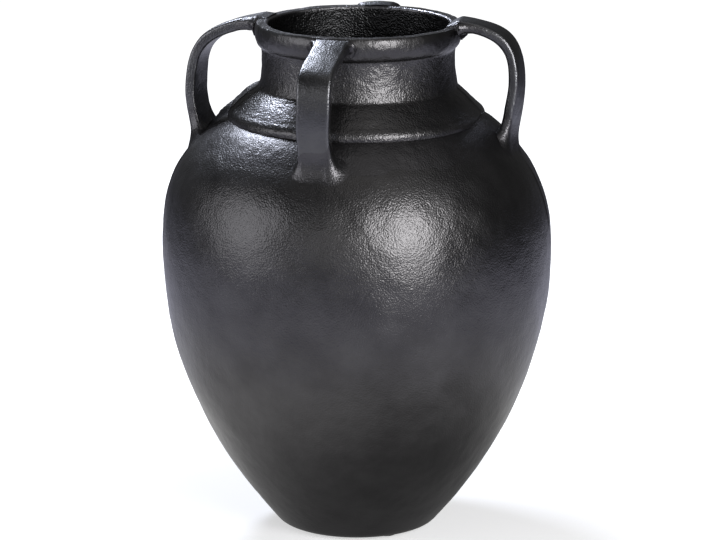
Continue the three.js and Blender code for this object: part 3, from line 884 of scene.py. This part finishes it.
# %% Foot fillets
# The flare's reach on the shoulder and its climb up the strap: at the sides, inside, outside
FLARE, CLIMB = (18.0, 10.0, 13.0), (23.0, 13.0, 16.0)
CORNER_POWER, LANDING, LIFT_OFF, HEEL_SINK = 5, 0.4, 0.05, 1.5
FILLET_ROWS, FILLET_WAVES = 26, ((0.12, 14), (0.05, 5))


def meeting_points(grid):
    """Row, with its fraction, where each line down the strap enters the shoulder."""
    above = grid[..., 2] - shoulder_height(np.hypot(grid[..., 0], grid[..., 1]))
    last = np.where(above > 0, np.arange(len(grid))[:, None], 0).max(axis=0)
    column = np.arange(grid.shape[1])
    high, low = above[last, column], above[np.minimum(last + 1, len(grid) - 1), column]
    return last + high / (high - low + TINY)


def at_rows(grid, rows):
    """Points between rows of a grid, by straight interpolation down each column."""
    low = np.clip(np.floor(rows).astype(int), 0, len(grid) - 2)
    part = (rows - low)[:, None]
    column = np.arange(grid.shape[1])
    return grid[low, column] * (1 - part) + grid[low + 1, column] * part


def shoulder_normal(points):
    """Unit normal of the shoulder under each point, from the slope of its curve."""
    radius = np.hypot(points[:, 0], points[:, 1])
    slope = shoulder_height(radius + 0.5) - shoulder_height(radius - 0.5)
    return unit(np.stack([-slope * points[:, 0] / radius, -slope * points[:, 1] / radius,
                          np.ones(len(points))], axis=1))


def foot_fillet(side, handle, seed):
    """Ring of curved triangles round the foot: strap, meeting point and shoulder are its corners."""
    grid = strap_grids[side]
    loop = strap_loop(handle)
    sideways = np.clip(np.abs(loop[:, 1]) / (STRAP_WIDTH / 2), 0, 1) ** CORNER_POWER
    inner = ramp(-loop[:, 0], STRAP_THICKNESS / 4, STRAP_THICKNESS * 3 / 4)
    outer = handle["flare"] * (1 - inner)
    tail = np.where(loop[:, 1] < 0, *handle["sides"])
    leg, climb = (beside * tail * sideways + (within * inner + beyond * outer) * (1 - sideways)
                  for beside, within, beyond in (FLARE, CLIMB))
    step = np.linalg.norm(grid[1:] - grid[:-1], axis=-1).mean()
    meet_row = meeting_points(grid)
    meet = at_rows(grid, meet_row)
    start = at_rows(grid, meet_row - climb / step)
    outward = at_rows(grid_normals(grid), meet_row)
    up = shoulder_normal(meet)
    across = unit(outward - up * np.einsum("ij,ij->i", outward, up)[:, None])
    land = meet + across * leg[:, None]
    land[:, 2] = shoulder_height(np.hypot(land[:, 0], land[:, 1])) - LANDING
    start = start + outward * LIFT_OFF
    face = swept(start, meet, land, FILLET_ROWS)
    relief = relief_of(face, seed, *FILLET_WAVES)
    relief = relief * np.sin(np.linspace(0, pi, FILLET_ROWS))[:, None] ** 2
    face = face + (outward + up) * relief[..., None] / 2
    heel = meet - outward * HEEL_SINK - up * HEEL_SINK
    ring = np.concatenate([face, heel[None]])
    quads = grid_quads(len(ring), STRAP_AROUND, wrap_rows=True)
    return make_piece(f"foot_fillet_{side}", ring.reshape(-1, 3), quads)


for number, (side, handle) in enumerate(HANDLES.items()):
    foot_weld = foot_fillet(side, handle, SEEDS["foot"] + SEED_STEP * number)
    dress(foot_weld, bead_metal, f"foot_weld_{side}")

# %% [markdown]
# ## Felt pads
# A pad is a flat disc with a soft edge: a small profile turned round its own middle.

# %% Pads
PAD_TURNS, PAD_EDGE = np.linspace(0, 2 * pi, 64, endpoint=False), 0.5


def pad_piece(node):
    """Disc with rounded edges, turned round the middle of its solid."""
    low, high = (np.array(corner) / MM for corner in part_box(node))
    middle = (low + high) / 2
    radius, bottom, top = (high[0] - low[0]) / 2, low[2], high[2]
    edge_low = rounded((radius, bottom), (0, bottom), (radius, top), PAD_EDGE)
    edge_high = rounded((radius, top), (radius, bottom), (0, top), PAD_EDGE)
    profile = np.concatenate([[(radius / 2, bottom)], edge_low, edge_high, [(radius / 2, top)]])
    grid = turn_profile(profile, PAD_TURNS) + (middle[0], middle[1], 0)
    poles = np.array([[middle[0], middle[1], bottom], [middle[0], middle[1], top]])
    return close_turned(f"felt_{node}", grid, poles)


for node in sorted(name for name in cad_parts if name.startswith("base_pad")):
    dress(pad_piece(node), felt, node)

# %% [markdown]
# ## Floor and light
# The photograph was taken on white, with a large soft lamp to the right of the camera, a wide
# dim panel on the left, and a strip high behind the left shoulder that makes the gleam beside
# the collar. The ceiling and the wall behind the camera throw a little back. All else is dark,
# which is why the right shoulder is black. The floor shows white to the camera and keeps the
# vase's shadow. The metal's reflections see a painted reflection of the floor instead: a glow
# that is bright at the sides and dimmer towards the camera, with painted shade close to the foot,
# and dark beyond the lit sweep.

# %% Floor
FLOOR_SIZE = 12.0
SHADOW_REACH, SHADOW_GLOW = 0.45, 0.55
TINT_NEAR, TINT_FAR, TINT_START, TINT_END = "#ffffff", "#eaebff", 0.25, 0.65
# Painted reflection seen by glossy rays: painted shade near the foot and towards the camera.
PAINTED_REFLECTION_NEAR, PAINTED_REFLECTION_FAR = 0.27, 1.0
SHADE_PLACE = to_right * 0.06 + to_camera * 0.05
SHADE_START, SHADE_END = 0.07, 0.30
FRONT_DIM, FRONT_START, FRONT_END = 0.85, 0.15, 0.75
SWEEP_START, SWEEP_END, BEYOND = 0.7, 1.6, 0.12


def floor_material():
    """White paint, plus a light for camera rays that grows with distance; glossy rays see a painted
    reflection.
    """
    material, tree, place = new_material("white_floor_with_painted_reflection")
    path = add_node(tree, "LightPath").outputs
    away, apart, forward = (
        add_node(tree, "VectorMath", inputs, operation=kind).outputs["Value"]
        for kind, inputs in (("LENGTH", {0: place}), ("DISTANCE", {0: place, 1: SHADE_PLACE}),
                             ("DOT_PRODUCT", {0: place, 1: to_camera})))
    seen = add_node(tree, "Math", {0: path["Is Camera Ray"], 1: path["Is Transmission Ray"]},
                    operation="MAXIMUM").outputs["Value"]
    clear, near, front, sweep, far = (
        add_node(tree, "MapRange", {"Value": value, "From Min": start, "From Max": end,
                 "To Min": low, "To Max": high}, interpolation_type=kind).outputs["Result"]
        for value, start, end, low, high, kind in (
            (away, SHADOW_REACH / 3, SHADOW_REACH, SHADOW_GLOW, 1.0, "SMOOTHSTEP"),
            (apart, SHADE_START, SHADE_END, PAINTED_REFLECTION_NEAR, PAINTED_REFLECTION_FAR, "SMOOTHSTEP"),
            (forward, FRONT_START, FRONT_END, 1.0, FRONT_DIM, "LINEAR"),
            (away, SWEEP_START, SWEEP_END, 1.0, BEYOND, "SMOOTHSTEP"),
            (away, TINT_START, TINT_END, 0.0, 1.0, "LINEAR")))
    glowing, dimmed = (
        add_node(tree, "Math", {0: first, 1: second}, operation="MULTIPLY").outputs["Value"]
        for first, second in ((seen, clear), (near, front)))
    paint = add_node(tree, "BsdfDiffuse", {"Color": linear("#c8c8ca")})
    glow = add_node(tree, "Emission", {"Strength": glowing})
    lit = add_node(tree, "AddShader", {0: paint.outputs["BSDF"], 1: glow.outputs["Emission"]})
    strength = add_node(tree, "Math", {0: dimmed, 1: sweep}, operation="MULTIPLY")
    tint = add_node(tree, "Mix", {"Factor": far, "A": linear(TINT_NEAR), "B": linear(TINT_FAR)},
                    data_type="RGBA")
    # Painted reflection: the glow that glossy rays see instead of the lit paint.
    painted_reflection = add_node(tree, "Emission", {"Color": tint.outputs["Result"],
                        "Strength": strength.outputs["Value"]})
    either = add_node(tree, "MixShader", {0: path["Is Glossy Ray"],
                      1: lit.outputs["Shader"], 2: painted_reflection.outputs["Emission"]})
    add_node(tree, "OutputMaterial", {"Surface": either.outputs["Shader"]})
    return material


floor_mesh = bpy.data.meshes.new("floor")
half = FLOOR_SIZE / 2
floor_mesh.from_pydata([(-half, -half, 0), (half, -half, 0), (half, half, 0), (-half, half, 0)],
                       [], [(0, 1, 2, 3)])
floor = bpy.data.objects.new("floor", floor_mesh)
floor_mesh.materials.append(floor_material())
bpy.context.collection.objects.link(floor)

# %% World
WORLD_LIGHT = 0.08


def set_world():
    """White to the camera, and a dim grey room to everything else."""
    world = bpy.data.worlds.new("studio")
    bpy.context.scene.world = world
    world.use_nodes = True
    tree = world.node_tree
    tree.nodes.clear()
    path = add_node(tree, "LightPath")
    dim, white = (add_node(tree, "Background", {"Color": linear("#ffffff"), "Strength": strength})
                  for strength in (WORLD_LIGHT, 1.0))
    mix = add_node(tree, "MixShader", {0: path.outputs["Is Camera Ray"],
                   1: dim.outputs["Background"], 2: white.outputs["Background"]})
    add_node(tree, "OutputWorld", {"Surface": mix.outputs["Shader"]})


set_world()

# %% Lamps
# Turn and rise in degrees; distance, width and height in metres; power in watts; colour
LAMPS = {
    "key_softbox": (29.5, 16.3, 1.7, 0.6, 1.0, 26, "#ffffff"),
    "left_panel": (-68, 12, 1.9, 1.4, 1.1, 12.5, "#fafbff"),
    "back_strip": (-152, 44, 1.6, 0.5, 0.24, 24, "#eaf1ff"),
    "room_bounce": (-16, 8, 3.2, 2.2, 1.3, 6.5, "#ffffff"),
    "ceiling_bounce": (25, 74, 1.9, 1.5, 1.5, 2.8, "#fffdfa"),
}
AIM = Vector((0, 0, 0.25))


def add_lamp(name, turn, rise, distance, width, height, power, colour):
    """Area lamp at a turn from the camera and a rise above the table, aimed at the belly."""
    data = bpy.data.lights.new(name, "AREA")
    data.shape = "RECTANGLE"
    data.size, data.size_y = width, height
    data.energy = power
    data.color = linear(colour)[:3]
    lamp = bpy.data.objects.new(name, data)
    angle, climb = CAMERA_TURN + radians(turn), radians(rise)
    away = Vector((sin(angle) * cos(climb), -cos(angle) * cos(climb), sin(climb)))
    lamp.location = AIM + away * distance
    lamp.rotation_euler = away.to_track_quat("Z", "Y").to_euler()
    bpy.context.collection.objects.link(lamp)


for lamp_name, lamp_values in LAMPS.items():
    add_lamp(lamp_name, *lamp_values)
bpy.context.scene.view_settings.view_transform = "Standard"
print("lamps:", ", ".join(LAMPS))
